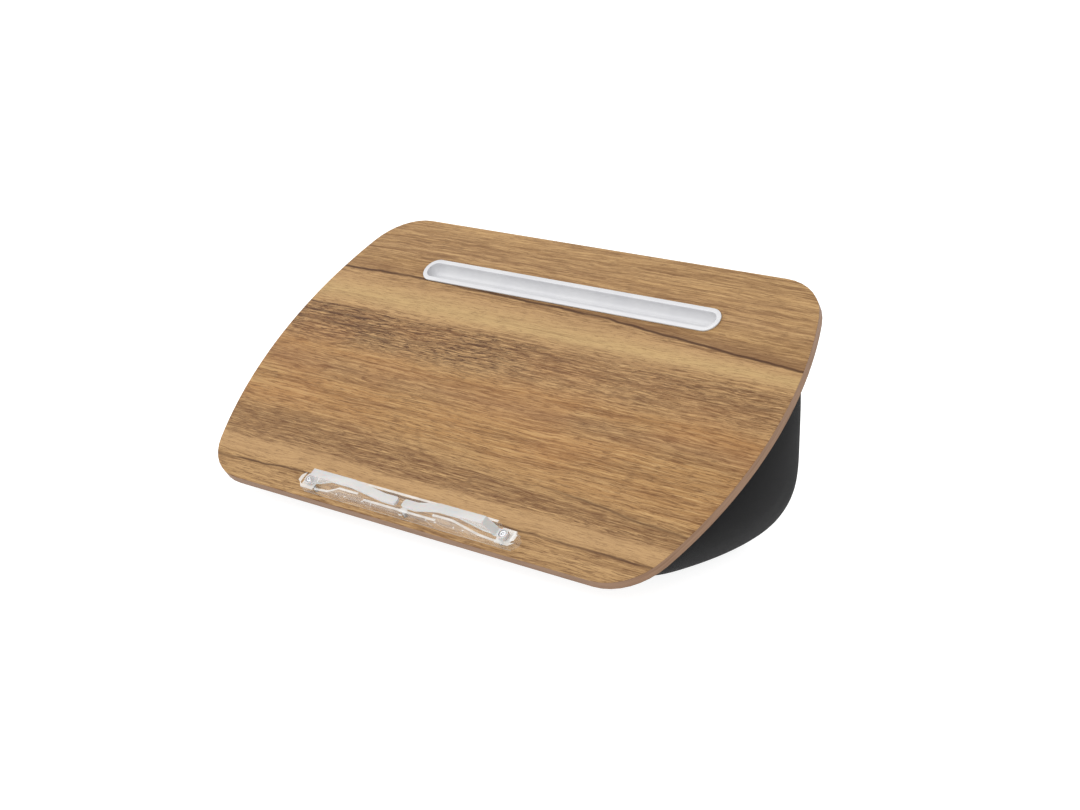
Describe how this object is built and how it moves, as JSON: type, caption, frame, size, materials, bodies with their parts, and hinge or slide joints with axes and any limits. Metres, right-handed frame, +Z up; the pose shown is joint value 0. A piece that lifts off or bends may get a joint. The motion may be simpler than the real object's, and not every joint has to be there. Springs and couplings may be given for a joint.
{
  "type": "tablet stand",
  "caption": "Sloping wood-look lap board with bowed sides on a firm wedge cushion, with a device slot and a clear book stop with swinging page arms.",
  "frame": {"origin": "on the table, at the middle of the stand's own extent in X and Y", "axes": "+X across the stand, +Y towards the high back edge, +Z up"},
  "size_m": [0.466, 0.2256, 0.1809],
  "materials": {
    "mdf": "raw fibreboard",
    "wood_face": "satin printed oak-look laminate with brown streaks",
    "board_edge": "satin taupe-brown",
    "white_plastic": "semi-gloss white",
    "clear_plastic": "clear, polished",
    "frosted_plastic": "milky translucent",
    "pad": "soft translucent silicone",
    "steel": "plain steel",
    "hook_tape": "woven hook tape",
    "loop_tape": "brushed loop tape",
    "cover_fabric": "smooth charcoal stretch fabric",
    "base_fabric": "charcoal anti-slip fabric",
    "foam": "open-cell foam",
    "zip_tape": "woven",
    "zip_teeth": "moulded black",
    "zip_metal": "dark nickel"
  },
  "bodies": {
    "base": {"board_core": "mdf", "wood_veneer": "wood_face", "backing_laminate": "board_edge", "edge_band": "board_edge", "slot_tray": "white_plastic", "stop_rail": "clear_plastic", "pivot_screws": "steel", "pivot_washers": "pad", "rail_screws": "steel", "hook_strips": "hook_tape", "loop_strips": "loop_tape", "cushion_cover": "cover_fabric", "cushion_base_panel": "base_fabric", "cushion_top_panel": "cover_fabric", "foam_core": "foam", "zip_tape": "zip_tape", "zip_chain": "zip_teeth", "zip_end_stops": "zip_metal"},
    "page_arm_left": {"page_arm_left": "frosted_plastic", "tip_pad_left": "pad"},
    "page_arm_right": {"page_arm_right": "frosted_plastic", "tip_pad_right": "pad"},
    "zip_slider_body": {"zip_slider": "zip_metal"},
    "zip_pull_body": {"zip_pull": "zip_metal"}
  },
  "joints": [
    {"name": "page_arm_left_swing", "type": "hinge", "parent": "base", "child": "page_arm_left", "pos_m": [-0.0935, -0.10264, 0.03024], "axis": [0, -0.606, 0.7955], "range_deg": [0, 105]},
    {"name": "page_arm_right_swing", "type": "hinge", "parent": "base", "child": "page_arm_right", "pos_m": [0.0935, -0.10264, 0.03024], "axis": [0, 0.606, -0.7955], "range_deg": [0, 105]},
    {"name": "zip_slide", "type": "slide", "parent": "base", "child": "zip_slider_body", "axis": [-1, 0, 0], "range_m": [0, 0.22]},
    {"name": "zip_pull_flip", "type": "hinge", "parent": "zip_slider_body", "child": "zip_pull_body", "pos_m": [0.11, 0.10301, 0.112], "axis": [0, 0, -1], "range_deg": [0, 170]}
  ]
}
